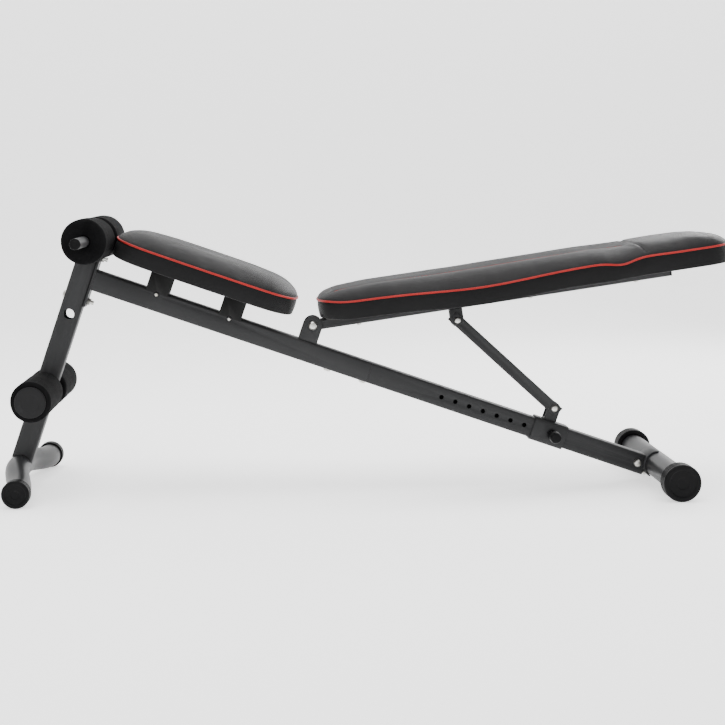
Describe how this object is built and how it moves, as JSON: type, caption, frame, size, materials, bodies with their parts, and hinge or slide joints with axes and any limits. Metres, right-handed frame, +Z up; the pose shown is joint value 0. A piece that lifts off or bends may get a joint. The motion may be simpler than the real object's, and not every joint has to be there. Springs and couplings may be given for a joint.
{
  "type": "adjustable weight bench",
  "caption": "Sloping sit-up bench with foam leg rollers, a fixed seat and a back rest held at an angle by a strut and a locking sleeve.",
  "frame": {"origin": "on the floor, under the middle of the bench's bounding box", "axes": "+X from the front post towards the head end, +Y away from the pull pin's side, +Z up"},
  "size_m": [1.3928, 0.5746, 0.5231],
  "materials": {
    "graphite_paint": "satin",
    "black_paint": "satin",
    "zinc": "satin",
    "foam": "matte",
    "black_plastic": "matte",
    "vinyl": "satin",
    "plywood": "matte",
    "spring_steel": "satin"
  },
  "bodies": {
    "frame": {"front_foot": "graphite_paint", "front_foot_cap_left": "black_plastic", "front_foot_cap_right": "black_plastic", "rear_foot": "graphite_paint", "rear_foot_cap_left": "black_plastic", "rear_foot_cap_right": "black_plastic", "front_post": "graphite_paint", "post_top_plug": "black_plastic", "post_bolt_upper": "zinc", "post_bolt_lower": "zinc", "beam_end_plate": "graphite_paint", "front_beam": "graphite_paint", "rear_beam": "graphite_paint", "beam_joiner": "graphite_paint", "joiner_bolt_front": "zinc", "joiner_bolt_rear": "zinc", "rear_saddle": "graphite_paint", "saddle_cross_bolt": "zinc", "saddle_foot_bolt": "zinc", "seat_support_front": "black_paint", "seat_support_rear": "black_paint", "seat_support_bolt_front": "zinc", "seat_support_bolt_rear": "zinc", "seat_screw_front": "zinc", "seat_screw_rear": "zinc", "seat_board": "plywood", "seat_cushion": "vinyl", "hinge_bracket": "graphite_paint", "hinge_bolt": "zinc"},
    "back": {"back_rail": "graphite_paint", "rail_end_plug": "black_plastic", "back_board": "plywood", "back_cushion": "vinyl", "back_screw_1": "zinc", "back_screw_2": "zinc", "back_screw_3": "zinc", "strut_tab": "graphite_paint", "strut_upper_bolt": "zinc"},
    "strut": {"strut": "graphite_paint", "strut_stud_left": "zinc", "strut_stud_right": "zinc"},
    "sleeve": {"adjuster_sleeve": "graphite_paint", "sleeve_clevis": "graphite_paint", "strut_lower_pin": "zinc", "pop_pin_barrel": "black_plastic", "pop_pin_spring": "spring_steel"},
    "pop_pin": {"pop_pin_plunger": "zinc", "pop_pin_knob": "black_plastic"},
    "upper_roller": {"upper_roller_bar": "graphite_paint", "upper_foam_left": "foam", "upper_foam_right": "foam", "upper_roller_plug_left": "black_plastic", "upper_roller_plug_right": "black_plastic"},
    "lower_roller": {"lower_roller_bar": "graphite_paint", "lower_foam_left": "foam", "lower_foam_right": "foam", "lower_roller_plug_left": "black_plastic", "lower_roller_plug_right": "black_plastic"}
  },
  "joints": [
    {"name": "back_tilt", "type": "hinge", "parent": "frame", "child": "back", "pos_m": [-0.10427, 0, 0.31319], "axis": [0, -1, 0], "range_deg": [0, 34.54]},
    {"name": "strut_swing", "type": "hinge", "parent": "back", "child": "strut", "pos_m": [0.17753, 0, 0.32192], "axis": [0, -1, 0], "range_deg": [-75.9, 0]},
    {"name": "sleeve_slide", "type": "slide", "parent": "frame", "child": "sleeve", "axis": [0.9457, 0, -0.3249], "range_m": [-0.231, 0]},
    {"name": "pin_pull", "type": "slide", "parent": "sleeve", "child": "pop_pin", "axis": [0, -1, 0], "range_m": [0, 0.01], "stiffness_N_per_m": 800, "springref_m": -0.005},
    {"name": "upper_roller_spin", "type": "hinge", "parent": "frame", "child": "upper_roller", "pos_m": [-0.52333, 0, 0.48148], "axis": [0, 1, 0], "continuous": true},
    {"name": "lower_roller_spin", "type": "hinge", "parent": "frame", "child": "lower_roller", "pos_m": [-0.62372, 0, 0.18924], "axis": [0, 1, 0], "continuous": true}
  ],
  "couplings": [
    {"joint": "strut_swing", "follows": "back_tilt", "ratio": -2.1953},
    {"joint": "sleeve_slide", "follows": "back_tilt", "m_per_rad": -0.38217}
  ]
}
